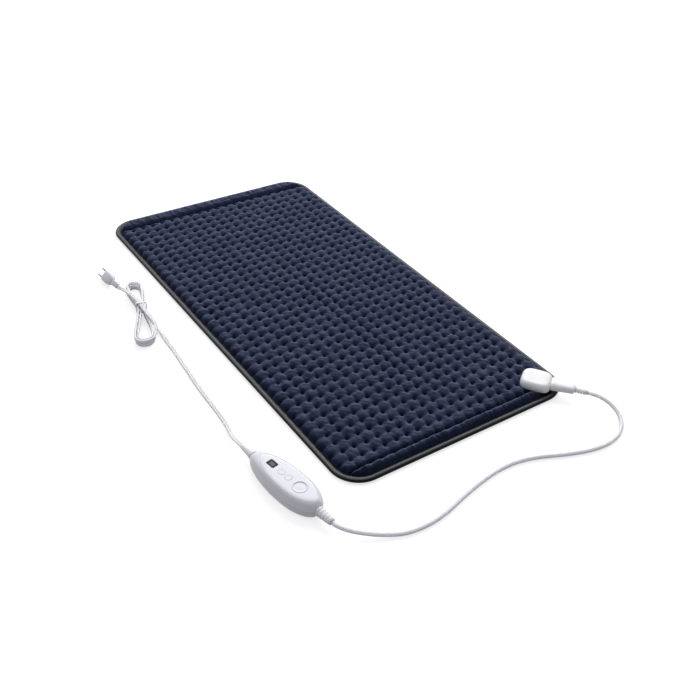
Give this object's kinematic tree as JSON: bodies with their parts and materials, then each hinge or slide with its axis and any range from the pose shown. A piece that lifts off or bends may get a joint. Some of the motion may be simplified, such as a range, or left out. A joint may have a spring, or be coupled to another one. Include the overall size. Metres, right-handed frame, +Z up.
{
  "type": "heating pad with controller",
  "caption": "Tufted rectangular heating pad with a bound edge, a corner socket and plug-in connector, a hand controller with display and buttons, and a mains cord tied in a hank.",
  "frame": {"origin": "middle of the pad's underside, on the surface it lies on", "axes": "+X along the pad's length towards the end with the socket, +Y across it towards the socket's side, +Z up"},
  "size_m": [0.9613, 0.5645, 0.0289],
  "materials": {
    "plush": "tufted plush",
    "lower_cloth": "plain knit",
    "binding_tape": "folded tape",
    "carrier_cloth": "non-woven",
    "wire_sleeve": "smooth sleeve",
    "black_plastic": "matt",
    "dark_window": "polished",
    "white_shell": "satin",
    "white_panel": "satin film",
    "white_relief": "soft moulded",
    "cord_jacket": "smooth jacket",
    "contact_brass": "plated",
    "screw_steel": "plated",
    "blade_metal": "plated",
    "board": "lacquered",
    "capacitor_case": "dipped",
    "fuse_glass": "clear"
  },
  "bodies": {
    "pad": {"pad_top_cover": "plush", "pad_bottom_cover": "lower_cloth", "edge_binding": "binding_tape", "wire_carrier_sheet": "carrier_cloth", "heating_element": "wire_sleeve", "overheat_cutout": "black_plastic", "socket_base": "white_relief", "socket_cap": "white_shell", "socket_pin_1": "contact_brass", "socket_pin_2": "contact_brass", "socket_pin_3": "contact_brass", "socket_pin_4": "contact_brass", "socket_screw_1": "screw_steel", "socket_screw_2": "screw_steel"},
    "cord_set": {"connector_body": "white_shell", "connector_contact_1": "contact_brass", "connector_contact_2": "contact_brass", "connector_contact_3": "contact_brass", "connector_contact_4": "contact_brass", "connector_strain_relief": "white_relief", "pad_lead": "cord_jacket", "controller_upper_shell": "white_shell", "controller_lower_shell": "white_shell", "case_screw_1": "screw_steel", "case_screw_2": "screw_steel", "case_screw_3": "screw_steel", "face_panel": "white_panel", "display_window": "dark_window", "led_display": "black_plastic", "power_switch": "black_plastic", "temp_switch": "black_plastic", "timer_switch": "black_plastic", "circuit_board": "board", "control_chip": "black_plastic", "fuse": "fuse_glass", "dropper_capacitor": "capacitor_case", "triac": "black_plastic", "pad_end_strain_relief": "white_relief", "mains_end_strain_relief": "white_relief", "mains_lead": "cord_jacket", "mains_hank": "cord_jacket", "mains_tail": "cord_jacket", "cable_tie": "white_relief", "plug_body": "white_shell", "plug_blade_1": "blade_metal", "plug_blade_2": "blade_metal"},
    "power_key": {"power_button": "white_panel", "power_plunger": "black_plastic"},
    "temp_key": {"temp_button": "white_panel", "temp_plunger": "black_plastic"},
    "timer_key": {"timer_button": "white_panel", "timer_plunger": "black_plastic"}
  },
  "joints": [
    {"name": "connector_unplug", "type": "slide", "parent": "pad", "child": "cord_set", "axis": [0.809, 0.5878, 0], "range_m": [0, 0.018]},
    {"name": "power_press", "type": "slide", "parent": "cord_set", "child": "power_key", "axis": [0, 0, -1], "range_m": [0, 0.0008], "stiffness_N_per_m": 2000},
    {"name": "temp_press", "type": "slide", "parent": "cord_set", "child": "temp_key", "axis": [0, 0, -1], "range_m": [0, 0.0008], "stiffness_N_per_m": 2000},
    {"name": "timer_press", "type": "slide", "parent": "cord_set", "child": "timer_key", "axis": [0, 0, -1], "range_m": [0, 0.0008], "stiffness_N_per_m": 2000}
  ]
}
